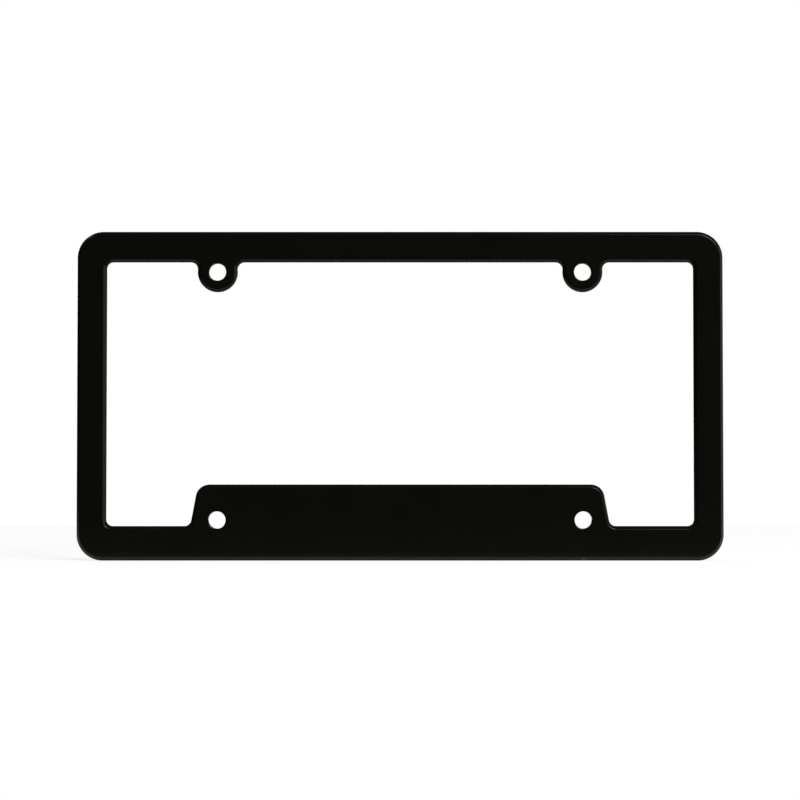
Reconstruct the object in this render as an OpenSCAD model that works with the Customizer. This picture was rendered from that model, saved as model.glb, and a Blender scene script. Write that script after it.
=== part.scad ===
// Number plate frame: one black moulding that lies over the front of a car's number plate.
// It is drawn as seen from the front, with x to the right, y up and z towards the viewer.
// The plate's face bears on the plane z = 0. The last step stands the frame upright.

/* [Plate] */
// Width of the plate that the frame holds
plate_w = 304.8; // [295:0.1:320]
// Height of the plate
plate_h = 152.4; // [146:0.1:165]
// Room beside the plate, on each side
plate_gap_x = 2.75; // [0.5:0.05:4]
// Room above and below the plate, on each side
plate_gap_y = 1.8; // [0.5:0.05:4]

/* [Face] */
// Width of the left and right bars
side_bar_w = 14.2; // [11:0.1:20]
// Height of the top bar
top_bar_h = 14.8; // [12:0.1:18]
// Height of the lower bar, beside the panel
lower_bar_h = 16.7; // [12:0.1:22]
// Radius of the four outer corners
corner_r = 12.7; // [8:0.1:18]
// Radius of the corners of the window
window_r = 3.2; // [2:0.1:6]

/* [Panel] */
// Height of the panel above the lower edge of the frame
panel_h = 36.9; // [32:0.1:48]
// Width of the panel along its top edge
panel_top_w = 196.4; // [194:0.1:203]
// Width of the panel where it leaves the lower bar
panel_base_w = 204; // [200:0.1:215]
// Radius of the two top corners of the panel
panel_corner_r = 6.6; // [4:0.1:9]
// Radius of the hollow curve at each foot of the panel
panel_foot_r = 3.5; // [2:0.1:5]

/* [Screw holes] */
// Distance between the left and right holes
hole_pitch_x = 177.8; // [170:0.1:180]
// Distance between the upper and lower holes
hole_pitch_y = 120.65; // [118:0.05:124]
// Diameter of the holes
hole_d = 8.4; // [5:0.1:10]
// Radius of the round ears that carry the upper holes
ear_r = 9.7; // [8:0.1:11]
// Radius of the hollow curves beside each ear
ear_neck_r = 3.5; // [2:0.1:4]
// Wall of the round boss behind each hole
boss_t = 1.8; // [1:0.1:2.2]

/* [Section] */
// Depth of the frame from its face to the back of its rim
depth = 6.4; // [5.4:0.1:10]
// Distance from the face back to the plane where the plate bears
seat_depth = 3.7; // [3:0.1:5]
// Thickness of the face
face_t = 2.2; // [1.8:0.1:2.6]
// Width of the bevel along every edge of the face
bevel = 1.5; // [0.5:0.1:1.7]
// Thickness of the wall round the plate
rim_t = 2; // [1.5:0.1:3]
// Thickness of the lip along the edge of the window
lip_t = 1.5; // [1:0.1:2]
// Thickness of the stiffening ribs
rib_t = 1.2; // [0.8:0.1:2]
// Number of stiffening ribs between the left and right holes
ribs_across = 5; // [3:1:7]
// Number of stiffening ribs between the upper and lower holes
ribs_up = 3; // [1:1:5]

/* [Hidden] */
$fn = 96;

// How far a cutter runs past what it cuts, a rib or boss runs into the face that carries it,
// and a hollow curve runs past the straight edge that it meets
cut = 1;
sink = 0.5;
touch = 0.001;
moulding_black = [0.07, 0.07, 0.065];

// Outer size, and the heights of the shown face, of the skin behind it and of the rim's back
frame_w = plate_w + 2 * (plate_gap_x + rim_t);
frame_h = plate_h + 2 * (plate_gap_y + rim_t);
face_z = seat_depth;
skin_z = face_z - face_t;
rim_z = face_z - depth;

// Window between the four bars
window_w = frame_w - 2 * side_bar_w;
window_top = frame_h / 2 - top_bar_h;
window_low = -frame_h / 2 + lower_bar_h;
window_h = window_top - window_low;
window_y = (window_top + window_low) / 2;

// Panel: slant of its sides, centre of its right top corner, and the straight part of its side
panel_top = -frame_h / 2 + panel_h;
panel_slant = atan2((panel_base_w - panel_top_w) / 2, panel_top - window_low);
panel_x = panel_top_w / 2 - panel_corner_r * (1 - sin(panel_slant)) / cos(panel_slant);
panel_y = panel_top - panel_corner_r;
foot_out = panel_corner_r + panel_foot_r - touch;
foot_rise = window_low + panel_foot_r - touch;
side_run = (panel_y - foot_rise + foot_out * sin(panel_slant)) / cos(panel_slant);

// Ears: the bar's edge as seen from the middle of a hole, and the direction of the neck's curve
ear_x = hole_pitch_x / 2;
ear_y = hole_pitch_y / 2;
bar_edge = window_top - ear_y;
neck_out = ear_r + ear_neck_r - touch;
neck_rise = bar_edge - ear_neck_r + touch;
neck_angle = asin(neck_rise / neck_out);
neck_x = neck_out * cos(neck_angle);
root = max(bevel, lip_t) + cut;

// Edges as [inset, height] points from back to front. An inset below zero widens a cutter.
rim_edge = [[0, rim_z], [0, face_z - bevel], [bevel, face_z]];
shown_edge = [[0, 0], [0, face_z - bevel], [bevel, face_z]];
pocket_rim = [[rim_t, -cut], [rim_t, skin_z]];
pocket_lip = [[lip_t, -cut], [lip_t, skin_z]];
recess_edge = [[rim_t, rim_z - cut], [rim_t, 0]];

function last(list) = list[len(list) - 1];

// The same edge for the hollow side of an outline
function hollow(edge) = [for (p = edge) [-p[0], p[1]]];

// The same edge carried on past both of its ends, as a cutter needs
function past(edge) =
    let (n = len(edge), a = edge[n - 2], b = edge[n - 1], lean = (b[0] - a[0]) / (b[1] - a[1]))
    concat([[edge[0][0], edge[0][1] - cut]],
           [for (i = [1:1:n - 2]) edge[i]],
           [[b[0] + lean * cut, b[1] + cut]]);

// Section of an edge at distance r from an axis, closed along that axis
function half_section(r, edge) =
    concat([[0, edge[0][1]]], [for (p = edge) [r - p[0], p[1]]], [[0, last(edge)[1]]]);

// A round piece whose rim is the edge
module disc(r, edge) rotate_extrude() polygon(half_section(r, edge));

// A straight piece with the edge at x = r, from y = 0 downwards
module run(r, length, edge)
    rotate([90, 0, 0]) linear_extrude(length) polygon(half_section(r, edge));

// A straight piece with the edge along both of its sides, centred
module bar(half_w, length, edge) {
    right = [for (p = edge) [half_w - p[0], p[1]]];
    left = [for (i = [len(edge) - 1:-1:0]) [edge[i][0] - half_w, edge[i][1]]];
    rotate([90, 0, 0]) linear_extrude(length, center = true) polygon(concat(right, left));
}

// A block of any outline, as high as the edge
module block(points, edge)
    translate([0, 0, edge[0][1]]) linear_extrude(last(edge)[1] - edge[0][1]) polygon(points);

// A rectangle with round corners, with the edge all the way round
module rounded(half_w, half_h, r, edge) {
    bar(half_w, 2 * (half_h - r), edge);
    rotate(90) bar(half_h, 2 * (half_w - r), edge);
    for (x = [r - half_w, half_w - r], y = [r - half_h, half_h - r])
        translate([x, y]) disc(r, edge);
}

// A round ear on the top bar, drawn about its hole, with a hollow curve on each side of its neck
module ear(edge) {
    neck = [[0, 0], [neck_x, neck_rise], [neck_x, bar_edge + root],
            [-neck_x, bar_edge + root], [-neck_x, neck_rise]];
    disc(ear_r, edge);
    difference() {
        block(neck, edge);
        for (side = [0, 1])
            mirror([side, 0, 0]) rotate(neck_angle) translate([neck_out, 0])
                disc(ear_neck_r, past(hollow(edge)));
    }
}

// A straight cutter that leaves the edge at x = r, from just above y = 0 downwards
module trim(r, reach, length, edge) {
    side = past(edge);
    translate([0, cut]) rotate([90, 0, 0]) linear_extrude(length + cut)
        polygon(concat([for (p = side) [r - p[0], p[1]]],
                       [[r + reach, last(side)[1]], [r + reach, side[0][1]]]));
}

// The right half of the panel, drawn about the middle of its top corner and a little past half
module half_panel(edge) {
    middle = -panel_x - panel_corner_r;
    reach = panel_corner_r + cut;
    brow = [reach * cos(panel_slant), reach * sin(panel_slant)];
    toe = [side_run * sin(panel_slant) + foot_out * cos(panel_slant), foot_rise - panel_y];
    base = toe[1] - panel_foot_r - root;
    disc(panel_corner_r, edge);
    mirror([1, 0, 0]) rotate(90) run(panel_corner_r, -middle, edge);
    difference() {
        block([[middle, 0], [middle, base], [toe[0], base], toe, brow, [0, 0]], edge);
        rotate(panel_slant) {
            trim(panel_corner_r - touch, panel_foot_r + cut, side_run, edge);
            translate([foot_out, -side_run]) disc(panel_foot_r, past(hollow(edge)));
        }
    }
}

// The wide panel that stands on the lower bar
module panel(edge)
    for (side = [0, 1])
        mirror([side, 0, 0]) translate([panel_x, panel_y]) half_panel(edge);

// The whole face with one edge outside and another round the window
module face(outer, inner) {
    difference() {
        rounded(frame_w / 2, frame_h / 2, corner_r, outer);
        translate([0, window_y])
            rounded(window_w / 2, window_h / 2, window_r, past(hollow(inner)));
    }
    for (x = [-ear_x, ear_x]) translate([x, ear_y]) ear(inner);
    panel(inner);
}

// Round bosses that bear on the plate behind the four holes
module bosses()
    for (x = [-ear_x, ear_x], y = [-ear_y, ear_y])
        translate([x, y]) cylinder(r = hole_d / 2 + boss_t, h = skin_z + sink);

// The four screw holes
module holes()
    for (x = [-ear_x, ear_x], y = [-ear_y, ear_y])
        translate([x, y, -cut]) cylinder(d = hole_d, h = face_z + 2 * cut);

// Stiffening ribs, level with the back of the bosses: one that stands at x, one that lies at y
module upright_rib(x, low, high)
    translate([x - rib_t / 2, low]) cube([rib_t, high - low, skin_z + sink]);
module level_rib(y, left, right)
    translate([left, y - rib_t / 2]) cube([right - left, rib_t, skin_z + sink]);

// Ribs across the bars and up the panel, in line with the holes and evenly between them.
// Each ends halfway into the wall, lip or boss that it meets.
module ribs() {
    step_x = hole_pitch_x / (ribs_across + 1);
    step_y = hole_pitch_y / (ribs_up + 1);
    in_rim_x = frame_w / 2 - rim_t / 2;
    in_rim_y = frame_h / 2 - rim_t / 2;
    in_lip_x = window_w / 2 + lip_t / 2;
    in_boss = (hole_d + boss_t) / 2;
    hole_rib = (ribs_across + 1) / 2;
    last_rib = hole_rib + floor((in_lip_x - ear_x) / step_x);
    for (i = [-last_rib:last_rib]) {
        x = i * step_x;
        at_hole = abs(i) == hole_rib;
        lip_y = abs(i) > hole_rib ? window_low : panel_top;
        upright_rib(x, at_hole ? ear_y + in_boss : window_top + lip_t / 2, in_rim_y);
        upright_rib(x, -in_rim_y, at_hole ? -ear_y - in_boss : lip_y - lip_t / 2);
        if (at_hole) upright_rib(x, -ear_y + in_boss, lip_y - lip_t / 2);
    }
    for (j = [-(ribs_up + 1) / 2:(ribs_up + 1) / 2], side = [0, 1])
        mirror([side, 0, 0]) level_rib(j * step_y, in_lip_x, in_rim_x);
    long_rib_x = panel_base_w / 2 - lip_t / 2;
    level_rib(window_low - lip_t / 2, -long_rib_x, long_rib_x);
}

module plate_frame() {
    color(moulding_black) rotate([90, 0, 0]) difference() {
        union() {
            difference() {
                face(rim_edge, shown_edge);
                rounded(frame_w / 2, frame_h / 2, corner_r, recess_edge);
                face(pocket_rim, pocket_lip);
            }
            bosses();
            ribs();
        }
        holes();
    }
}

plate_frame();
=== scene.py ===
"""Dresses the number plate frame: one black moulding, seen square on in a pale studio.

Shapes are drawn as the part's source draws them, in millimetres, with x to the right, y up and z
towards the viewer, and the plate bears on z = 0. Each finished mesh is then stood upright, in
metres.
"""

from __future__ import annotations

import logging
import math
from dataclasses import dataclass, field
from enum import Enum

import bmesh
import bpy
from mathutils import Matrix, Vector

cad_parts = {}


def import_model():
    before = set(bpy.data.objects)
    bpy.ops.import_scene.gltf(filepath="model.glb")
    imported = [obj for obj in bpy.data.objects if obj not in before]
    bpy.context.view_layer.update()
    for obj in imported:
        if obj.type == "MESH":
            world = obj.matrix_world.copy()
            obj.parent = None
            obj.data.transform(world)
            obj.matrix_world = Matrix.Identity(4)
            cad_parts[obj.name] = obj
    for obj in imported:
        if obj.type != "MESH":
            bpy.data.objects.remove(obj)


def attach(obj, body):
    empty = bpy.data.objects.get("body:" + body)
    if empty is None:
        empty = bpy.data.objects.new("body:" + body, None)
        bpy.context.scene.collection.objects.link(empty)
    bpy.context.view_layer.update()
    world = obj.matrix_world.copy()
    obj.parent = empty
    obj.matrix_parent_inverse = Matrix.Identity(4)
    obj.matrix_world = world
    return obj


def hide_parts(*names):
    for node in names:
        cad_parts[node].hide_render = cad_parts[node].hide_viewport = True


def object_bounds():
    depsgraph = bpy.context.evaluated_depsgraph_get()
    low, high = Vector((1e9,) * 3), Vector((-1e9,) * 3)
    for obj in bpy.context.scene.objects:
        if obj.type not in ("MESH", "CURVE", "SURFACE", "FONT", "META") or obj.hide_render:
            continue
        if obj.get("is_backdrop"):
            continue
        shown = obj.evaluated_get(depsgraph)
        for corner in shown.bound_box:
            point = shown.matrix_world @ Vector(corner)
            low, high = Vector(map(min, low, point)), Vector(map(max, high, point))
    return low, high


LOG = logging.getLogger("plate_frame")

BODY = "root"
CAD_NODE = "plate_frame"

MM = 0.001  # a millimetre in metres
ARC_STEP = 3.0  # degrees that one length of an arc turns through at most
STRAIGHT_STEP = 12.0  # greatest length of a straight line's pieces, in millimetres
SAME_PLACE = 1e-4  # points nearer to each other than this, in millimetres, are one
SAME_HEADING = 1e-6  # headings are one when the sine of the angle between them is under this
WELD = 2e-6  # points nearer to each other than this, in metres, are welded
OPEN_EDGE = 1.5  # an edge with fewer faces than this is open
NOISE_MIDDLE = 0.5
WHITE = (1.0, 1.0, 1.0, 1.0)

# Names of the attributes that points carry
INTO = "into_material"
KIND = "edge_kind"
AIM = "aim"
SPREAD = "spread"
TORN_AND_HIGHLIGHT = "torn"

STAND_UP = Matrix.Rotation(math.radians(90), 4, "X")


class EdgeKind(Enum):
    """The three sorts of edge on the moulding, each with its own section."""

    RIM = 0
    WINDOW = 1
    HOLE = 2


# Node trees


class Value:
    """A number in a node tree, on which plain arithmetic adds Math nodes."""

    def __init__(self, sheet: "NodeSheet", socket: bpy.types.NodeSocket) -> None:
        """Wraps a socket.

        Args:
            sheet: the tree that the socket is in.
            socket: an output socket that carries a number.
        """
        self.sheet = sheet
        self.socket = socket

    def _math(self, operation: str, *terms: object) -> "Value":
        """Adds a Math node.

        Args:
            operation: the node's operation.
            terms: its inputs, numbers or values.

        Returns:
            The node's result.
        """
        node = self.sheet.node(
            "ShaderNodeMath", {"operation": operation}, dict(enumerate(terms))
        )
        return Value(self.sheet, node.outputs[0])

    def __add__(self, other: object) -> "Value":
        """Value plus other."""
        return self._math("ADD", self, other)

    def __radd__(self, other: object) -> "Value":
        """Other plus value."""
        return self._math("ADD", other, self)

    def __sub__(self, other: object) -> "Value":
        """Value less other."""
        return self._math("SUBTRACT", self, other)

    def __rsub__(self, other: object) -> "Value":
        """Other less value."""
        return self._math("SUBTRACT", other, self)

    def __mul__(self, other: object) -> "Value":
        """Value times other."""
        return self._math("MULTIPLY", self, other)

    def __rmul__(self, other: object) -> "Value":
        """Other times value."""
        return self._math("MULTIPLY", other, self)

    def __neg__(self) -> "Value":
        """Value with its sign turned."""
        return self._math("MULTIPLY", self, -1.0)

    def __gt__(self, other: object) -> "Value":
        """One where the value is above other, else zero."""
        return self._math("GREATER_THAN", self, other)

    def __lt__(self, other: object) -> "Value":
        """One where the value is below other, else zero."""
        return self._math("LESS_THAN", self, other)


class NodeSheet:
    """A node tree, with the one method that adds any node to it."""

    def __init__(self, tree: bpy.types.NodeTree) -> None:
        """Wraps a tree.

        Args:
            tree: a shader or geometry tree.
        """
        self.tree = tree

    def node(
        self, kind: str, settings: dict | None = None, inputs: dict | None = None
    ) -> bpy.types.Node:
        """Adds a node, sets it up and then fills its sockets.

        Args:
            kind: the node's type.
            settings: properties by name; "stops" fills a ramp and "items" an index switch.
            inputs: numbers, values or sockets by socket name or number.

        Returns:
            The node.
        """
        node = self.tree.nodes.new(kind)
        for name, value in (settings or {}).items():
            if name == "stops":
                self._ramp(node.color_ramp, value)
            elif name == "items":
                while len(node.index_switch_items) < value:
                    node.index_switch_items.new()
            else:
                setattr(node, name, value)
        for name, value in (inputs or {}).items():
            self.feed(node.inputs[name], value)
        return node

    @staticmethod
    def _ramp(ramp: bpy.types.ColorRamp, stops: list[tuple[float, float]]) -> None:
        """Sets a ramp's stops.

        Args:
            ramp: the ramp, which has two stops of its own.
            stops: (place, grey) pairs in order.
        """
        while len(ramp.elements) < len(stops):
            ramp.elements.new(1.0)
        for element, (place, grey) in zip(ramp.elements, stops):
            element.position = place
            element.color = (grey, grey, grey, 1.0)

    def feed(self, socket: bpy.types.NodeSocket, value: object) -> None:
        """Links or sets one input socket.

        Args:
            socket: the input.
            value: a Value, an output socket, or a plain setting. A list links each of its members.
        """
        for item in value if isinstance(value, list) else [value]:
            if isinstance(item, Value):
                self.tree.links.new(item.socket, socket)
            elif isinstance(item, bpy.types.NodeSocket):
                self.tree.links.new(item, socket)
            else:
                socket.default_value = item


class FinishSheet(NodeSheet):
    """A material's tree, with its main shader at hand."""

    def __init__(self, name: str) -> None:
        """Makes the material.

        Args:
            name: the material's name.
        """
        self.material = bpy.data.materials.new(name)
        self.material.use_nodes = True
        super().__init__(self.material.node_tree)
        self.shader = self.tree.nodes["Principled BSDF"]

    def dress(self, inputs: dict[str, object]) -> None:
        """Feeds the shader's sockets by name."""
        for name, value in inputs.items():
            self.feed(self.shader.inputs[name], value)

    def blend(self, share: object, first: object, second: object) -> bpy.types.NodeSocket:
        """Mixes two colours.

        Args:
            share: how much of the second shows, from 0 to 1.
            first: a colour or a socket.
            second: the other colour or socket.

        Returns:
            The socket with the mixed colour.
        """
        node = self.node(
            "ShaderNodeMix", {"data_type": "RGBA"}, {0: share, 6: first, 7: second}
        )
        return node.outputs[2]


class ShapeSheet(NodeSheet):
    """A geometry tree with named inputs for its sizes."""

    def __init__(self, name: str, sizes: dict[str, float]) -> None:
        """Makes the tree with its inputs and output.

        Args:
            name: the tree's name.
            sizes: its inputs by name, with lengths in metres.
        """
        super().__init__(bpy.data.node_groups.new(name, "GeometryNodeTree"))
        self.sizes = sizes
        face = self.tree.interface
        face.new_socket(name="Geometry", in_out="INPUT", socket_type="NodeSocketGeometry")
        for label, size in sizes.items():
            item = face.new_socket(name=label, in_out="INPUT", socket_type="NodeSocketFloat")
            item.default_value = size
        face.new_socket(name="Material", in_out="INPUT", socket_type="NodeSocketMaterial")
        face.new_socket(name="Geometry", in_out="OUTPUT", socket_type="NodeSocketGeometry")
        self.entry = self.node("NodeGroupInput")

    def given(self, label: str) -> Value:
        """The named input as a value."""
        return Value(self, self.entry.outputs[label])

    def height(self) -> Value:
        """The height of a point, its z."""
        place = self.node("GeometryNodeInputPosition").outputs[0]
        return Value(self, self.node("ShaderNodeSeparateXYZ", None, {0: place}).outputs[2])

    def carried(self, name: str, data_type: str) -> bpy.types.NodeSocket:
        """What the points carry under a name.

        Args:
            name: the attribute's name.
            data_type: the sort of number that it holds.

        Returns:
            The socket with it.
        """
        node = self.node(
            "GeometryNodeInputNamedAttribute", {"data_type": data_type}, {"Name": name}
        )
        return node.outputs[0]

    def section(
        self, corners: list[tuple[object, object, object]], count: int
    ) -> bpy.types.NodeSocket:
        """A section drawn across an edge, with its corners rounded.

        Args:
            corners: (inset, height, radius) of each corner, from the back to the face.
            count: points added at each rounded corner.

        Returns:
            The socket with the section as a curve, its x the inset and its y the depth.
        """
        index = self.node("GeometryNodeInputIndex").outputs[0]
        places = {"Index": index}
        radii = {"Index": index}
        for i, (inset, height, radius) in enumerate(corners):
            point = self.node("ShaderNodeCombineXYZ", None, {0: inset, 1: -height})
            places[str(i)] = point.outputs[0]
            radii[str(i)] = radius
        line = self.node(
            "GeometryNodeMeshLine", {"mode": "OFFSET"}, {"Count": len(corners)}
        )
        at = self.node(
            "GeometryNodeIndexSwitch",
            {"data_type": "VECTOR", "items": len(corners)},
            places,
        )
        rounding = self.node(
            "GeometryNodeIndexSwitch",
            {"data_type": "FLOAT", "items": len(corners)},
            radii,
        )
        placed = self.node(
            "GeometryNodeSetPosition", None, {0: line.outputs[0], "Position": at.outputs[0]}
        )
        curve = self.node("GeometryNodeMeshToCurve", None, {0: placed.outputs[0]})
        fillet = self.node(
            "GeometryNodeFilletCurve",
            {"mode": "POLY"},
            {
                0: curve.outputs[0],
                "Count": count,
                "Radius": rounding.outputs[0],
                "Limit Radius": True,
            },
        )
        return fillet.outputs[0]

    def paths(self, kind: EdgeKind) -> bpy.types.NodeSocket:
        """The outlines of one kind as curves, each with its normal into the material.

        Args:
            kind: which outlines.

        Returns:
            The socket with the curves.
        """
        chosen = self.node(
            "FunctionNodeCompare",
            {"data_type": "INT", "operation": "EQUAL"},
            {2: self.carried(KIND, "INT"), 3: kind.value},
        )
        curve = self.node(
            "GeometryNodeMeshToCurve",
            None,
            {0: self.entry.outputs[0], "Selection": chosen.outputs[0]},
        )
        steered = self.node(
            "GeometryNodeSetCurveNormal",
            {"mode": "FREE"},
            {0: curve.outputs[0], "Normal": self.carried(INTO, "FLOAT_VECTOR")},
        )
        return steered.outputs[0]

    def sweep(
        self, path: bpy.types.NodeSocket, section: bpy.types.NodeSocket, caps: bool = False
    ) -> bpy.types.NodeSocket:
        """A section swept along a path.

        Args:
            path: the socket with the path.
            section: the socket with the section.
            caps: whether a closed section's ends are filled.

        Returns:
            The socket with the swept mesh.
        """
        node = self.node(
            "GeometryNodeCurveToMesh", None, {0: path, 1: section, "Fill Caps": caps}
        )
        return node.outputs[0]

    def flat(
        self, mesh: bpy.types.NodeSocket, level: Value, other: Value
    ) -> bpy.types.NodeSocket:
        """Fills the flat area between the open edges at one level.

        Args:
            mesh: the socket with the swept mesh.
            level: the height of the area.
            other: the height of the other area, whose edges are left out.

        Returns:
            The socket with the filled area.
        """
        neighbours = self.node("GeometryNodeInputMeshEdgeNeighbors").outputs[0]
        lone = Value(self, neighbours) < OPEN_EDGE
        middle = (level + other) * 0.5
        near = ((self.height() - middle) * (level - middle)) > 0.0
        loops = self.node(
            "GeometryNodeMeshToCurve", None, {0: mesh, "Selection": lone * near}
        )
        filled = self.node(
            "GeometryNodeFillCurve", {"mode": "TRIANGLES"}, {0: loops.outputs[0]}
        )
        raised = self.node("ShaderNodeCombineXYZ", None, {2: level})
        moved = self.node(
            "GeometryNodeSetPosition", None, {0: filled.outputs[0], "Offset": raised.outputs[0]}
        )
        return moved.outputs[0]

    def close(self, parts: list[bpy.types.NodeSocket], smooth: bool = True) -> None:
        """Joins, welds and paints the parts, and ends the tree.

        Args:
            parts: sockets with the parts' geometry.
            smooth: whether its faces shade as one smooth skin.
        """
        joined = self.node("GeometryNodeJoinGeometry", None, {0: parts})
        real = self.node("GeometryNodeRealizeInstances", None, {0: joined.outputs[0]})
        welded = self.node(
            "GeometryNodeMergeByDistance", None, {0: real.outputs[0], "Distance": WELD}
        )
        shaded = self.node(
            "GeometryNodeSetShadeSmooth", None, {0: welded.outputs[0], "Shade Smooth": smooth}
        )
        painted = self.node(
            "GeometryNodeSetMaterial",
            None,
            {0: shaded.outputs[0], "Material": self.entry.outputs["Material"]},
        )
        self.node("NodeGroupOutput", None, {0: painted.outputs[0]})


# Meshes


def in_metres(sizes: dict[str, float]) -> dict[str, float]:
    """Named sizes in metres, from millimetres."""
    return {label: size * MM for label, size in sizes.items()}


def shaped_piece(
    name: str, start: bpy.types.Mesh, sheet: ShapeSheet, material: bpy.types.Material
) -> bpy.types.Object:
    """Runs a geometry tree on a mesh and keeps the result as a plain piece, stood upright.

    Args:
        name: the piece's name.
        start: the mesh that the tree starts from, in the drawing's frame and in metres.
        sheet: the tree.
        material: the piece's material.

    Returns:
        The piece, with its place in its mesh.
    """
    guide = bpy.data.objects.new(name + "_guide", start)
    bpy.context.scene.collection.objects.link(guide)
    modifier = guide.modifiers.new("shape", "NODES")
    modifier.node_group = sheet.tree
    given = {**sheet.sizes, "Material": material}
    for item in sheet.tree.interface.items_tree:
        if item.item_type == "SOCKET" and item.in_out == "INPUT" and item.name in given:
            modifier[item.identifier] = given[item.name]
    graph = bpy.context.evaluated_depsgraph_get()
    mesh = bpy.data.meshes.new_from_object(guide.evaluated_get(graph), depsgraph=graph)
    guide.modifiers.remove(modifier)
    bpy.data.objects.remove(guide)
    mesh.name = name
    for attribute in (INTO, KIND, AIM, SPREAD):
        if attribute in mesh.attributes:
            mesh.attributes.remove(mesh.attributes[attribute])
    mesh.transform(STAND_UP)
    turn_outwards(mesh)
    piece = bpy.data.objects.new(name, mesh)
    bpy.context.scene.collection.objects.link(piece)
    return piece


def turn_outwards(mesh: bpy.types.Mesh) -> None:
    """Turns a closed mesh's faces outwards and logs any edge that is left open.

    Args:
        mesh: the mesh to put right.
    """
    work = bmesh.new()
    work.from_mesh(mesh)
    bmesh.ops.recalc_face_normals(work, faces=work.faces)
    if work.calc_volume(signed=True) < 0:
        bmesh.ops.reverse_faces(work, faces=work.faces)
    loose = sum(1 for edge in work.edges if len(edge.link_faces) != 2)
    LOG.info("%s: %d faces, %d open edges", mesh.name, len(work.faces), loose)
    work.to_mesh(mesh)
    work.free()


def edge_mesh(
    name: str, points: list[tuple[float, float]], edges: list[tuple[int, int]]
) -> bpy.types.Mesh:
    """A flat mesh of loose edges.

    Args:
        name: the mesh's name.
        points: places in millimetres.
        edges: pairs of point numbers.

    Returns:
        The mesh, in metres.
    """
    mesh = bpy.data.meshes.new(name)
    mesh.from_pydata([(x * MM, y * MM, 0.0) for x, y in points], edges, [])
    return mesh


@dataclass
class Outline:
    """A closed outline of arcs and the straight lines between them, with the material on its right.

    Attributes:
        kind: the sort of edge that runs along it.
        points: (x, y, heading) of each point, in millimetres and radians.
    """

    kind: EdgeKind
    points: list[tuple[float, float, float]] = field(default_factory=list)

    def arc(self, x: float, y: float, radius: float, start: float, end: float) -> "Outline":
        """Adds an arc. A left turn goes round a hollow and a right turn round a bulge.

        Args:
            x: the centre's x.
            y: the centre's y.
            radius: the arc's radius.
            start: the heading at its start, in degrees.
            end: the heading at its end.

        Returns:
            The outline, so that calls can follow each other.
        """
        side = math.copysign(radius, end - start)
        steps = max(2, math.ceil(abs(end - start) / ARC_STEP))
        for i in range(steps + 1):
            heading = math.radians(start + (end - start) * i / steps)
            place = (x + side * math.sin(heading), y - side * math.cos(heading), heading)
            if not self.points or math.dist(place[:2], self.points[-1][:2]) > SAME_PLACE:
                self.points.append(place)
        return self

    def closed(self) -> list[tuple[float, float, float]]:
        """Joins the last point to the first and cuts the long straight lines into lengths.

        Returns:
            (x, y, heading) of each point, with none twice.
        """
        whole = []
        ring = self.points
        if math.dist(ring[0][:2], ring[-1][:2]) < SAME_PLACE:
            ring = ring[:-1]
        for a, b in zip(ring, ring[1:] + ring[:1]):
            whole.append(a)
            straight = abs(math.sin(b[2] - a[2])) < SAME_HEADING
            pieces = math.ceil(math.dist(a[:2], b[:2]) / STRAIGHT_STEP) if straight else 1
            for i in range(1, pieces):
                share = i / pieces
                whole.append((a[0] + (b[0] - a[0]) * share, a[1] + (b[1] - a[1]) * share, a[2]))
        return whole


def outline_mesh(name: str, outlines: list[Outline]) -> bpy.types.Mesh:
    """A mesh of outlines whose points know their kind and the way into the material.

    Args:
        name: the mesh's name.
        outlines: the outlines.

    Returns:
        The mesh, in metres.
    """
    points, edges, inward, kinds = [], [], [], []
    for outline in outlines:
        ring = outline.closed()
        first = len(points)
        points += [(x, y) for x, y, _ in ring]
        edges += [(first + i, first + (i + 1) % len(ring)) for i in range(len(ring))]
        inward += [c for _, _, h in ring for c in (math.sin(h), -math.cos(h), 0.0)]
        kinds += [outline.kind.value] * len(ring)
    mesh = edge_mesh(name, points, edges)
    mesh.attributes.new(INTO, "FLOAT_VECTOR", "POINT").data.foreach_set("vector", inward)
    mesh.attributes.new(KIND, "INT", "POINT").data.foreach_set("value", kinds)
    return mesh


# Finishes


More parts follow.
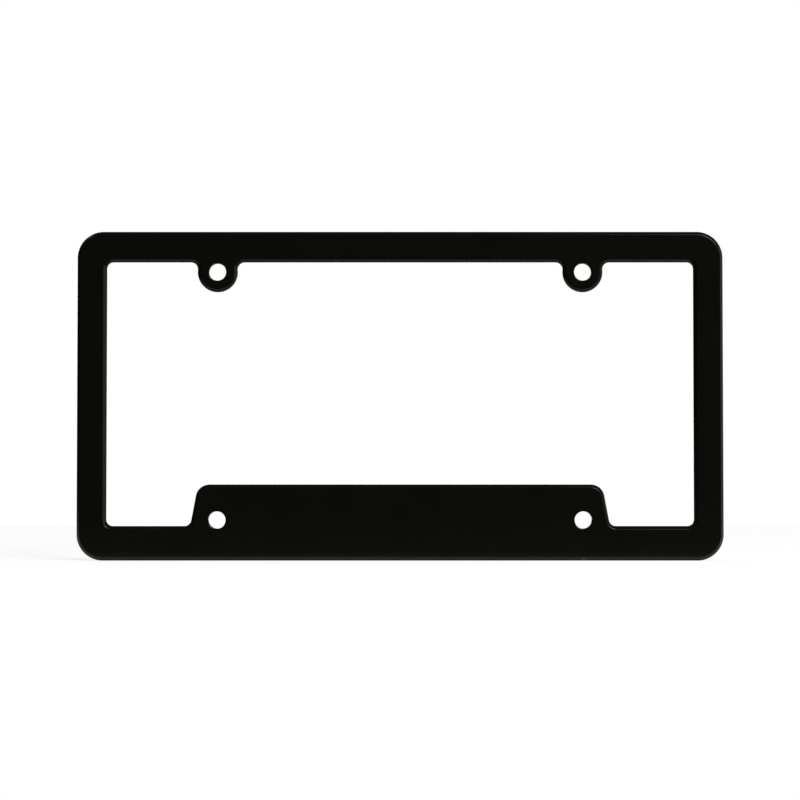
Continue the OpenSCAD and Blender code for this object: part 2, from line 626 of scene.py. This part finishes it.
@dataclass(frozen=True)
class MouldedPlastic:
    """Black plastic with the fine even grain that a sparked mould leaves.

    Attributes:
        colour: the plastic's own colour.
        faded: its colour where it is a little chalky.
        torn: its lighter colour on the gate's stub, partly plastic whitened where it was broken off
            and partly a painted highlight.
        roughness: how matt the grain is.
        specular: strength of its gloss.
        grain: grains in a metre.
        grain_depth: depth of the grain in metres.
        flow: flow marks in a metre.
        flow_depth: depth of the flow marks in metres.
        bloom: chalky patches in a metre.
        bloom_span: the noise at which the chalkiness starts and at which it is full.
        octaves: finer noises laid over the grain and the flow marks.
        bloom_octaves: finer noises laid over the chalky patches.
        bloom_rough: how much the roughness differs over the patches.
        grain_rough: how much it differs over the grain.
        torn_rough: how much rougher the plastic is where it was broken off at the gate.
    """

    colour: tuple[float, float, float] = (0.0031, 0.0033, 0.0020)
    faded: tuple[float, float, float] = (0.0037, 0.0035, 0.0025)
    torn: tuple[float, float, float] = (0.054, 0.054, 0.050)
    roughness: float = 0.16
    specular: float = 0.2
    grain: float = 2400.0
    grain_depth: float = 0.000006
    flow: float = 14.0
    flow_depth: float = 0.00004
    bloom: float = 42.0
    bloom_span: tuple[float, float] = (0.32, 0.72)
    octaves: float = 2.0
    bloom_octaves: float = 4.0
    bloom_rough: float = 0.10
    grain_rough: float = 0.05
    torn_rough: float = 0.3

    def material(self, name: str) -> bpy.types.Material:
        """Makes the material.

        Args:
            name: the material's name.

        Returns:
            The material.
        """
        sheet = FinishSheet(name)
        place = sheet.node("ShaderNodeTexCoord").outputs["Object"]

        def noise(scale: float, octaves: float) -> Value:
            """A noise over the surface.

            Args:
                scale: cells in a metre.
                octaves: finer noises laid over it.

            Returns:
                Its value, from 0 to 1.
            """
            node = sheet.node(
                "ShaderNodeTexNoise", None, {"Vector": place, "Scale": scale, "Detail": octaves}
            )
            return Value(sheet, node.outputs["Fac"])

        grain = noise(self.grain, self.octaves)
        flow = noise(self.flow, self.octaves)
        bloom = noise(self.bloom, self.bloom_octaves)
        stops = list(zip(self.bloom_span, (0.0, 1.0)))
        chalk = sheet.node("ShaderNodeValToRGB", {"stops": stops}, {0: bloom}).outputs[0]
        # The gate's stub gets a lighter grey: partly plastic whitened where it was broken off,
        # partly a painted highlight that stands in for a glint.
        torn_highlight_mask = sheet.node("ShaderNodeAttribute", {"attribute_name": TORN_AND_HIGHLIGHT}).outputs["Fac"]
        plain = sheet.blend(chalk, (*self.colour, 1.0), (*self.faded, 1.0))
        rises = grain - NOISE_MIDDLE
        uneven = (bloom - NOISE_MIDDLE) * self.bloom_rough + rises * self.grain_rough
        relief = rises * self.grain_depth + (flow - NOISE_MIDDLE) * self.flow_depth
        bump = sheet.node(
            "ShaderNodeBump", None, {"Strength": 1.0, "Distance": 1.0, "Height": relief}
        )
        sheet.dress({
            "Base Color": sheet.blend(torn_highlight_mask, plain, (*self.torn, 1.0)),
            "Roughness": uneven + Value(sheet, torn_highlight_mask) * self.torn_rough + self.roughness,
            "Specular IOR Level": self.specular,
            "Normal": bump.outputs[0],
        })
        return sheet.material


@dataclass(frozen=True)
class StudioFloor:
    """Pale matt floor, shown nearly white to the camera, with the shadow kept.

    Attributes:
        colour: the floor's grey.
        roughness: how matt it is.
        specular: strength of its gloss.
        lift: the share of plain white in what the camera sees of it.
        white: strength of that white, which makes up for the rest.
    """

    colour: float = 0.88
    roughness: float = 0.9
    specular: float = 0.1
    lift: float = 0.8
    white: float = 0.99

    def material(self, name: str) -> bpy.types.Material:
        """Makes the material.

        Args:
            name: the material's name.

        Returns:
            The material.
        """
        sheet = FinishSheet(name)
        sheet.dress({
            "Base Color": (self.colour, self.colour, self.colour, 1.0),
            "Roughness": self.roughness,
            "Specular IOR Level": self.specular,
        })
        white = sheet.node("ShaderNodeEmission", None, {"Strength": self.white})
        seen = Value(sheet, sheet.node("ShaderNodeLightPath").outputs["Is Camera Ray"])
        mix = sheet.node(
            "ShaderNodeMixShader",
            None,
            {0: seen * self.lift, 1: sheet.shader.outputs[0], 2: white.outputs[0]},
        )
        sheet.feed(sheet.tree.nodes["Material Output"].inputs["Surface"], mix.outputs[0])
        return sheet.material


# The frame


@dataclass(frozen=True)
class FrameSizes:
    """The moulding's sizes in millimetres, as the part's source has them.

    Attributes:
        plate_w: width of the number plate.
        plate_h: height of the number plate.
        plate_gap_x: gap between the plate and the wall at each side.
        plate_gap_y: gap between the plate and the wall above and below.
        side_bar_w: width of each side bar.
        top_bar_h: height of the top bar.
        lower_bar_h: height of the lower bar.
        corner_r: radius of the outer corners.
        window_r: radius of the window's corners.
        panel_h: height of the panel's top over the frame's lower edge.
        panel_top_w: width of the panel at its top.
        panel_base_w: width of the panel at its foot.
        panel_corner_r: radius of the panel's top corners.
        panel_foot_r: radius of the hollow curves at the panel's feet.
        hole_pitch_x: distance between the screw holes, across.
        hole_pitch_y: distance between the screw holes, up and down.
        hole_d: diameter of the screw holes.
        ear_r: radius of the ears round the upper holes.
        ear_neck_r: radius of the hollow curves beside an ear's neck.
        boss_t: wall of the bosses behind the holes.
        depth: depth of the whole frame.
        seat_depth: depth from the face to where the plate bears.
        face_t: thickness of the face.
        bevel: width and depth of the bevel along the edges.
        rim_t: thickness of the wall round the plate.
        lip_t: thickness of the lip round the window.
        rib_t: thickness of the ribs.
        ribs_across: ribs between the holes, across.
        ribs_up: ribs between the holes, up and down.
    """

    plate_w: float = 304.8
    plate_h: float = 152.4
    plate_gap_x: float = 2.75
    plate_gap_y: float = 1.8
    side_bar_w: float = 14.2
    top_bar_h: float = 14.8
    lower_bar_h: float = 16.7
    corner_r: float = 12.7
    window_r: float = 3.2
    panel_h: float = 36.9
    panel_top_w: float = 196.4
    panel_base_w: float = 204.0
    panel_corner_r: float = 6.6
    panel_foot_r: float = 3.5
    hole_pitch_x: float = 177.8
    hole_pitch_y: float = 120.65
    hole_d: float = 8.4
    ear_r: float = 9.7
    ear_neck_r: float = 3.5
    boss_t: float = 1.8
    depth: float = 6.4
    seat_depth: float = 3.7
    face_t: float = 2.2
    bevel: float = 1.5
    rim_t: float = 2.0
    lip_t: float = 1.5
    rib_t: float = 1.2
    ribs_across: int = 5
    ribs_up: int = 3

    @property
    def half_w(self) -> float:
        """Half the frame's width."""
        return self.plate_w / 2 + self.plate_gap_x + self.rim_t

    @property
    def half_h(self) -> float:
        """Half the frame's height."""
        return self.plate_h / 2 + self.plate_gap_y + self.rim_t

    @property
    def window_x(self) -> float:
        """Half the window's width."""
        return self.half_w - self.side_bar_w

    @property
    def window_top(self) -> float:
        """Height of the window's top edge."""
        return self.half_h - self.top_bar_h

    @property
    def window_low(self) -> float:
        """Height of the window's lower edge."""
        return self.lower_bar_h - self.half_h

    @property
    def panel_top(self) -> float:
        """Height of the panel's top edge."""
        return self.panel_h - self.half_h

    @property
    def skin_z(self) -> float:
        """Level of the back of the face."""
        return self.seat_depth - self.face_t

    @property
    def rim_z(self) -> float:
        """Level of the back of the rim."""
        return self.seat_depth - self.depth

    @property
    def hole_x(self) -> float:
        """Distance of the holes from the middle, across."""
        return self.hole_pitch_x / 2

    @property
    def hole_y(self) -> float:
        """Distance of the holes from the middle, up and down."""
        return self.hole_pitch_y / 2

    @property
    def rib_step_x(self) -> float:
        """Distance from rib to rib, across."""
        return self.hole_pitch_x / (self.ribs_across + 1)

    @property
    def rib_step_y(self) -> float:
        """Distance from rib to rib, up and down."""
        return self.hole_pitch_y / (self.ribs_up + 1)

    @property
    def hole_rib_x(self) -> int:
        """Which rib is in line with the right-hand holes, counted from the middle."""
        return (self.ribs_across + 1) // 2

    @property
    def hole_rib_y(self) -> int:
        """Which rib is in line with the upper holes, counted from the middle."""
        return (self.ribs_up + 1) // 2


@dataclass
class FaceShell:
    """The moulding's face with its rim, bevels, lip, screw holes and bosses, as one closed shell.

    Attributes:
        sizes: the frame's sizes.
        finish: the plastic.
        arris: radius of the edges of the bevel, in millimetres.
        back_arris: radius of the edges at the back.
        root: radius of the hollow corners behind the face.
        tab: width of the flat strip beside each rounding, which keeps the face's shading flat.
        segments: points added round each rounded corner.
    """

    sizes: FrameSizes
    finish: bpy.types.Material
    arris: float = 0.45
    back_arris: float = 0.3
    root: float = 0.4
    tab: float = 0.45
    segments: int = 4

    def rim_outline(self) -> Outline:
        """The outer outline.

        Returns:
            The outline, clockwise.
        """
        s = self.sizes
        x, y, r = s.half_w - s.corner_r, s.half_h - s.corner_r, s.corner_r
        outline = Outline(EdgeKind.RIM)
        for i, (cx, cy) in enumerate([(x, y), (x, -y), (-x, -y), (-x, y)]):
            outline.arc(cx, cy, r, -90.0 * i, -90.0 * (i + 1))
        return outline

    def window_outline(self) -> Outline:
        """The window's outline, round the panel and the two ears.

        Returns:
            The outline, counter-clockwise.
        """
        s = self.sizes
        outline = Outline(EdgeKind.WINDOW)
        low, top, r = s.window_low, s.window_top, s.window_r
        slant = math.atan2((s.panel_base_w - s.panel_top_w) / 2, s.panel_top - low)
        lean = 90.0 - math.degrees(slant)
        corner_x = (
            s.panel_top_w / 2 - s.panel_corner_r * (1 - math.sin(slant)) / math.cos(slant)
        )
        corner_y = s.panel_top - s.panel_corner_r
        foot_y = low + s.panel_foot_r
        reach = s.panel_corner_r + s.panel_foot_r
        run = (corner_y - foot_y + reach * math.sin(slant)) / math.cos(slant)
        foot_x = corner_x + run * math.sin(slant) + reach * math.cos(slant)
        outline.arc(-foot_x, foot_y, s.panel_foot_r, 0.0, lean)
        outline.arc(-corner_x, corner_y, s.panel_corner_r, lean, 0.0)
        outline.arc(corner_x, corner_y, s.panel_corner_r, 0.0, -lean)
        outline.arc(foot_x, foot_y, s.panel_foot_r, -lean, 0.0)
        outline.arc(s.window_x - r, low + r, r, 0.0, 90.0)
        outline.arc(s.window_x - r, top - r, r, 90.0, 180.0)
        neck_y = top - s.ear_neck_r
        rise = math.asin((neck_y - s.hole_y) / (s.ear_r + s.ear_neck_r))
        neck_x = (s.ear_r + s.ear_neck_r) * math.cos(rise)
        tilt = math.degrees(rise)
        for x in (s.hole_x, -s.hole_x):
            outline.arc(x + neck_x, neck_y, s.ear_neck_r, 180.0, 270.0 + tilt)
            outline.arc(x, s.hole_y, s.ear_r, 270.0 + tilt, 90.0 - tilt)
            outline.arc(x - neck_x, neck_y, s.ear_neck_r, 90.0 - tilt, 180.0)
        outline.arc(r - s.window_x, top - r, r, 180.0, 270.0)
        outline.arc(r - s.window_x, low + r, r, 270.0, 360.0)
        return outline

    def hole_outlines(self) -> list[Outline]:
        """The four screw holes' outlines.

        Returns:
            The outlines, counter-clockwise.
        """
        s = self.sizes
        return [
            Outline(EdgeKind.HOLE).arc(x, y, s.hole_d / 2, 0.0, 360.0)
            for x in (-s.hole_x, s.hole_x)
            for y in (-s.hole_y, s.hole_y)
        ]

    def sheet(self) -> ShapeSheet:
        """Sweeps each edge's section along its outlines and fills the flats between them.

        Returns:
            The tree that does it.
        """
        s = self.sizes
        lengths = {
            "Face": s.seat_depth, "Skin": s.skin_z, "Rim back": s.rim_z, "Bevel": s.bevel,
            "Rim wall": s.rim_t, "Lip": s.lip_t, "Boss wall": s.boss_t, "Arris": self.arris,
            "Back arris": self.back_arris, "Root": self.root, "Tab": self.tab,
        }
        sheet = ShapeSheet("face_shell", in_metres(lengths))
        face, skin, back, bevel, rim, lip, boss, arris, fine, root, tab = map(
            sheet.given, lengths
        )
        shown = [(0.0, face - bevel, arris), (bevel, face, arris), (bevel + tab, face, 0.0)]
        sections = {
            EdgeKind.RIM: [
                (rim + tab, skin, 0.0), (rim, skin, root), (rim, back, fine), (0.0, back, fine),
                *shown,
            ],
            EdgeKind.WINDOW: [
                (lip + tab, skin, 0.0), (lip, skin, root), (lip, 0.0, fine), (0.0, 0.0, fine),
                *shown,
            ],
            EdgeKind.HOLE: [
                (boss + tab, skin, 0.0), (boss, skin, root), (boss, 0.0, fine),
                (0.0, 0.0, fine), (0.0, face, arris), (arris + tab, face, 0.0),
            ],
        }
        strips = [
            sheet.sweep(sheet.paths(kind), sheet.section(corners, self.segments))
            for kind, corners in sections.items()
        ]
        joined = sheet.node("GeometryNodeJoinGeometry", None, {0: strips}).outputs[0]
        sheet.close([joined, sheet.flat(joined, face, skin), sheet.flat(joined, skin, face)])
        return sheet

    def build(self) -> bpy.types.Object:
        """Builds the shell, which replaces the CAD node.

        Returns:
            The piece.
        """
        guide = outline_mesh(
            "shell_outlines",
            [self.rim_outline(), self.window_outline(), *self.hole_outlines()],
        )
        piece = shaped_piece("face_shell", guide, self.sheet(), self.finish)
        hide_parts(CAD_NODE)
        return piece


@dataclass
class RearRibs:
    """The stiffening ribs behind the face.

    Attributes:
        sizes: the frame's sizes.
        finish: the plastic.
        edge: radius of a rib's back edges, in millimetres.
        root: radius of the hollow at a rib's foot.
        foot: width of the foot at each side, in radii of that hollow.
        sunk: how far a rib's foot lies in the face.
        dip: how much deeper the foot's outer edges lie.
        segments: points added round each rounded corner.
    """

    sizes: FrameSizes
    finish: bpy.types.Material
    edge: float = 0.3
    root: float = 0.45
    foot: float = 1.6
    sunk: float = 0.02
    dip: float = 0.04
    segments: int = 4

    def lines(self) -> list[tuple[tuple[float, float], tuple[float, float]]]:
        """The ribs' middle lines, each ending halfway into the wall, lip or boss that it meets.

        Returns:
            The (x, y) of both ends of each line.
        """
        s = self.sizes
        in_rim_x, in_rim_y = s.half_w - s.rim_t / 2, s.half_h - s.rim_t / 2
        in_lip_x = s.window_x + s.lip_t / 2
        in_boss = (s.hole_d + s.boss_t) / 2
        last_rib = s.hole_rib_x + math.floor((in_lip_x - s.hole_x) / s.rib_step_x)
        found = []
        for i in range(-last_rib, last_rib + 1):
            x = i * s.rib_step_x
            at_hole = abs(i) == s.hole_rib_x
            lip_y = s.window_low if abs(i) > s.hole_rib_x else s.panel_top
            upper = s.hole_y + in_boss if at_hole else s.window_top + s.lip_t / 2
            lower = -s.hole_y - in_boss if at_hole else lip_y - s.lip_t / 2
            found += [((x, upper), (x, in_rim_y)), ((x, -in_rim_y), (x, lower))]
            if at_hole:
                found.append(((x, -s.hole_y + in_boss), (x, lip_y - s.lip_t / 2)))
        for j in range(-s.hole_rib_y, s.hole_rib_y + 1):
            y = j * s.rib_step_y
            found += [((side * in_lip_x, y), (side * in_rim_x, y)) for side in (-1, 1)]
        long_x = (s.panel_base_w - s.lip_t) / 2
        long_y = s.window_low - s.lip_t / 2
        clear = math.sqrt(in_boss**2 - (long_y + s.hole_y) ** 2)
        stops = [-long_x, -s.hole_x - clear, clear - s.hole_x]
        stops += [-x for x in reversed(stops)]
        found += [((a, long_y), (b, long_y)) for a, b in zip(stops[::2], stops[1::2])]
        return found

    def sheet(self) -> ShapeSheet:
        """Sweeps the rib's section along every line.

        Returns:
            The tree that does it.
        """
        lengths = {
            "Thickness": self.sizes.rib_t, "Skin": self.sizes.skin_z, "Sunk": self.sunk,
            "Dip": self.dip, "Edge": self.edge, "Root": self.root,
        }
        sheet = ShapeSheet("rear_ribs", in_metres(lengths))
        thick, skin, sunk, dip, edge, root = map(sheet.given, lengths)
        half = thick * 0.5
        foot = half + root * self.foot
        deep = skin + sunk
        hidden = deep + dip
        left = [(-foot, hidden, 0.0), (-half, deep, root), (-half, 0.0, edge)]
        right = [(half, 0.0, edge), (half, deep, root), (foot, hidden, 0.0)]
        section = sheet.section(left + right, self.segments)
        ring = sheet.node(
            "GeometryNodeSetSplineCyclic", None, {0: section, "Cyclic": True}
        ).outputs[0]
        curve = sheet.node("GeometryNodeMeshToCurve", None, {0: sheet.entry.outputs[0]})
        steered = sheet.node("GeometryNodeSetCurveNormal", {"mode": "Z_UP"}, {0: curve.outputs[0]})
        sheet.close([sheet.sweep(steered.outputs[0], ring, caps=True)])
        return sheet

    def build(self) -> bpy.types.Object:
        """Builds the ribs as one piece.

        Returns:
            The piece.
        """
        lines = self.lines()
        points = [end for line in lines for end in line]
        edges = [(2 * i, 2 * i + 1) for i in range(len(lines))]
        guide = edge_mesh("rib_lines", points, edges)
        return shaped_piece("rear_ribs", guide, self.sheet(), self.finish)


@dataclass(frozen=True)
class Mark:
    """One small round mark of the mould.

    Attributes:
        place: its middle on the moulding's surface, in millimetres.
        aim: the way that it stands out.
        radius: its radius.
        height: how far it stands out.
    """

    place: tuple[float, float, float]
    aim: tuple[float, float, float]
    radius: float
    height: float


@dataclass
class MouldMarks:
    """What the mould leaves: the trimmed gate on the lower bevel and the flat pin marks behind.

    Attributes:
        sizes: the frame's sizes.
        finish: the plastic.
        gate_r: radius of the gate's stub, in millimetres.
        gate_h: height of the stub, a low dome.
        gate_up: the stub's place up the bevel, from 0 at its foot to 1 at the face.
        pin_r: radius of a pin mark.
        pin_h: height of a pin mark.
        taper: width of a pin mark's top over its foot.
        sunk: how far a mark's foot lies in the moulding.
        sides: flat sides round a mark.
    """

    sizes: FrameSizes
    finish: bpy.types.Material
    gate_r: float = 0.59
    gate_h: float = 0.3
    gate_up: float = 0.7
    pin_r: float = 2.3
    pin_h: float = 0.12
    taper: float = 0.86
    sunk: float = 0.05
    sides: int = 32

    def gate(self) -> Mark:
        """The gate's stub on the lower bevel, under the right-hand hole."""
        s = self.sizes
        up = s.bevel * self.gate_up
        place = (s.hole_x, up - s.half_h, s.seat_depth - s.bevel + up)
        return Mark(place, (0.0, -1.0, 1.0), self.gate_r, self.gate_h)

    def pins(self) -> list[Mark]:
        """The pin marks in the bays between the ribs.

        Returns:
            A mark in every second bay above and below, and in the end bays at the sides.
        """
        s = self.sizes
        upper = (s.half_h - s.rim_t + s.window_top + s.lip_t) / 2
        lower = (s.window_low - s.lip_t - s.half_h + s.rim_t) / 2
        side = (s.half_w - s.rim_t + s.window_x + s.lip_t) / 2
        across = [(i + 0.5) * s.rib_step_x for i in range(0, s.ribs_across, 2)]
        up = [(j + 0.5) * s.rib_step_y for j in (-s.hole_rib_y, s.hole_rib_y - 1)]
        places = [(x, y) for x in across for y in (upper, lower)] + [(side, y) for y in up]
        return [
            Mark((sign * x, y, s.skin_z), (0.0, 0.0, -1.0), self.pin_r, self.pin_h)
            for x, y in places
            for sign in (-1, 1)
        ]

    def sheet(self) -> ShapeSheet:
        """Sets a dome on the marks that face forward and a flat stud on those behind.

        Returns:
            The tree that does it. Both shapes have a radius of one, which each mark scales.
        """
        sheet = ShapeSheet("mould_marks", {"Taper": self.taper, "Sunk": self.sunk * MM})
        taper, sunk = map(sheet.given, sheet.sizes)
        aim = sheet.carried(AIM, "FLOAT_VECTOR")
        stud = sheet.node(
            "GeometryNodeMeshCone",
            {"fill_type": "NGON"},
            {"Vertices": self.sides, "Radius Top": taper, "Radius Bottom": 1.0, "Depth": 1.0},
        ).outputs[0]
        dome = sheet.node(
            "GeometryNodeMeshUVSphere",
            None,
            {"Segments": self.sides, "Rings": self.sides // 2, "Radius": 1.0},
        ).outputs[0]
        # The dome carries the mask for the gate's lighter grey, partly whitened plastic and partly a
        # painted highlight.
        torn_highlight_dome = sheet.node(
            "GeometryNodeStoreNamedAttribute",
            {"data_type": "FLOAT", "domain": "POINT"},
            {0: dome, "Name": TORN_AND_HIGHLIGHT, "Value": 1.0},
        ).outputs[0]
        back = sheet.node(
            "ShaderNodeVectorMath", {"operation": "SCALE"}, {0: aim, "Scale": -sunk}
        ).outputs[0]
        seated = sheet.node(
            "GeometryNodeSetPosition", None, {0: sheet.entry.outputs[0], "Offset": back}
        ).outputs[0]
        turned = sheet.node(
            "FunctionNodeAlignRotationToVector", {"axis": "Z"}, {"Vector": aim}
        ).outputs[0]
        ahead = sheet.node("ShaderNodeSeparateXYZ", None, {0: aim}).outputs[2]
        forward = Value(sheet, ahead) > 0.0
        placed = [
            sheet.node(
                "GeometryNodeInstanceOnPoints",
                None,
                {
                    0: seated,
                    "Selection": chosen,
                    "Instance": shape,
                    "Rotation": turned,
                    "Scale": sheet.carried(SPREAD, "FLOAT_VECTOR"),
                },
            ).outputs[0]
            for chosen, shape in ((forward, torn_highlight_dome), (1.0 - forward, stud))
        ]
        sheet.close(placed, smooth=False)
        return sheet

    def build(self) -> bpy.types.Object:
        """Builds the marks as one piece.

        Returns:
            The piece.
        """
        marks = [self.gate(), *self.pins()]
        guide = bpy.data.meshes.new("mark_points")
        guide.from_pydata([tuple(Vector(m.place) * MM) for m in marks], [], [])
        aims = [c for m in marks for c in Vector(m.aim).normalized()]
        spread = [c * MM for m in marks for c in (m.radius, m.radius, m.height + self.sunk)]
        for name, numbers in ((AIM, aims), (SPREAD, spread)):
            guide.attributes.new(name, "FLOAT_VECTOR", "POINT").data.foreach_set("vector", numbers)
        return shaped_piece("mould_marks", guide, self.sheet(), self.finish)


# Studio


@dataclass(frozen=True)
class Lamp:
    """A soft square lamp that points at the frame.

    Attributes:
        name: the lamp's name.
        place: where it stands, in metres.
        size: its side in metres.
        power: its power in watts.
    """

    name: str
    place: tuple[float, float, float]
    size: float
    power: float

    def build(self) -> None:
        """Puts the lamp in the scene."""
        data = bpy.data.lights.new(self.name, "AREA")
        data.shape = "SQUARE"
        data.size = self.size
        data.energy = self.power
        lamp = bpy.data.objects.new(self.name, data)
        lamp.location = self.place
        lamp.rotation_mode = "QUATERNION"
        lamp.rotation_quaternion = (-Vector(self.place)).to_track_quat("-Z", "Y")
        bpy.context.scene.collection.objects.link(lamp)


@dataclass
class Studio:
    """The pale floor, the lamps, the dim room and the camera.

    Attributes:
        floor_z: height of the floor in metres.
        floor_reach: how far the floor reaches to each side, to the front and to the back.
        room: brightness of the room away from the camera's sight.
        distance: the camera's distance from the frame.
        eye_z: height of the camera against the frame's middle.
        scale: pixels of the picture in a millimetre at the frame.
        offset: the frame's middle from the picture's middle, in pixels right and up.
        pixels: the picture's width.
        lamps: the lamps.
    """

    floor_z: float
    floor_reach: tuple[float, float, float] = (0.6, 0.03, 0.5)
    room: float = 0.03
    distance: float = 1.0
    eye_z: float = -0.03
    scale: float = 2.052
    offset: tuple[float, float] = (0.1, 4.0)
    pixels: float = 800.0
    lamps: tuple[Lamp, ...] = (
        Lamp("key_lamp", (1.4, -1.7, 1.9), 1.7, 130.0),
        Lamp("side_lamp", (1.1, -0.05, 0.1), 0.9, 2.0),
        Lamp("back_lamp", (-1.3, 1.7, 1.5), 2.4, 34.0),
    )

    def build(self) -> None:
        """Builds all of it."""
        self.build_floor()
        self.build_room()
        for lamp in self.lamps:
            lamp.build()
        self.build_camera()

    def build_floor(self) -> None:
        """Lays the floor."""
        side, front, back = self.floor_reach
        corners = ((-side, -front), (side, -front), (side, back), (-side, back))
        mesh = bpy.data.meshes.new("floor")
        mesh.from_pydata([(x, y, self.floor_z) for x, y in corners], [], [(0, 1, 2, 3)])
        mesh.materials.append(StudioFloor().material("floor_pale"))
        floor = bpy.data.objects.new("floor", mesh)
        bpy.context.scene.collection.objects.link(floor)
        floor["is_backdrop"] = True

    def build_room(self) -> None:
        """Makes the room white to the camera and dim to everything else."""
        world = bpy.data.worlds.new("room")
        bpy.context.scene.world = world
        world.use_nodes = True
        sheet = NodeSheet(world.node_tree)
        dim = world.node_tree.nodes["Background"]
        dim.inputs["Color"].default_value = WHITE
        dim.inputs["Strength"].default_value = self.room
        white = sheet.node("ShaderNodeBackground", None, {"Color": WHITE, "Strength": 1.0})
        seen = sheet.node("ShaderNodeLightPath").outputs["Is Camera Ray"]
        mix = sheet.node(
            "ShaderNodeMixShader", None, {0: seen, 1: dim.outputs[0], 2: white.outputs[0]}
        )
        sheet.feed(world.node_tree.nodes["World Output"].inputs["Surface"], mix.outputs[0])

    def build_camera(self) -> None:
        """Sets the camera before the frame, a little below its middle and aimed to frame it."""
        data = bpy.data.cameras.new("camera")
        seen = self.pixels / self.scale * MM
        data.lens = data.sensor_width * self.distance / seen
        camera = bpy.data.objects.new("camera", data)
        aside, above = (-pixels * MM / self.scale for pixels in self.offset)
        camera.location = (aside, -self.distance, self.eye_z)
        tilt = math.atan2(above - self.eye_z, self.distance)
        camera.rotation_euler = (math.radians(90) + tilt, 0.0, 0.0)
        bpy.context.scene.collection.objects.link(camera)
        bpy.context.scene.camera = camera


def main() -> None:
    """Loads the frame, builds each piece in order and reports it."""
    logging.basicConfig(level=logging.INFO, format="%(name)s: %(message)s")
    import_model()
    cad_low, cad_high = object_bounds()
    scene = bpy.context.scene
    scene.view_settings.view_transform = "Standard"
    sizes = FrameSizes()
    plastic = MouldedPlastic().material("black_plastic")
    for builder in (FaceShell(sizes, plastic), RearRibs(sizes, plastic), MouldMarks(sizes, plastic)):
        piece = builder.build()
        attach(piece, BODY)
        LOG.info("built %s: %s", piece.name, [round(d / MM, 3) for d in piece.dimensions])
    Studio(floor_z=cad_low.z).build()
    low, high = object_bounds()
    corners = [[round(c / MM, 3) for c in corner] for corner in (cad_low, cad_high, low, high)]
    LOG.info("CAD box %s to %s, dressed box %s to %s", *corners)


if __name__ == "__main__":
    main()
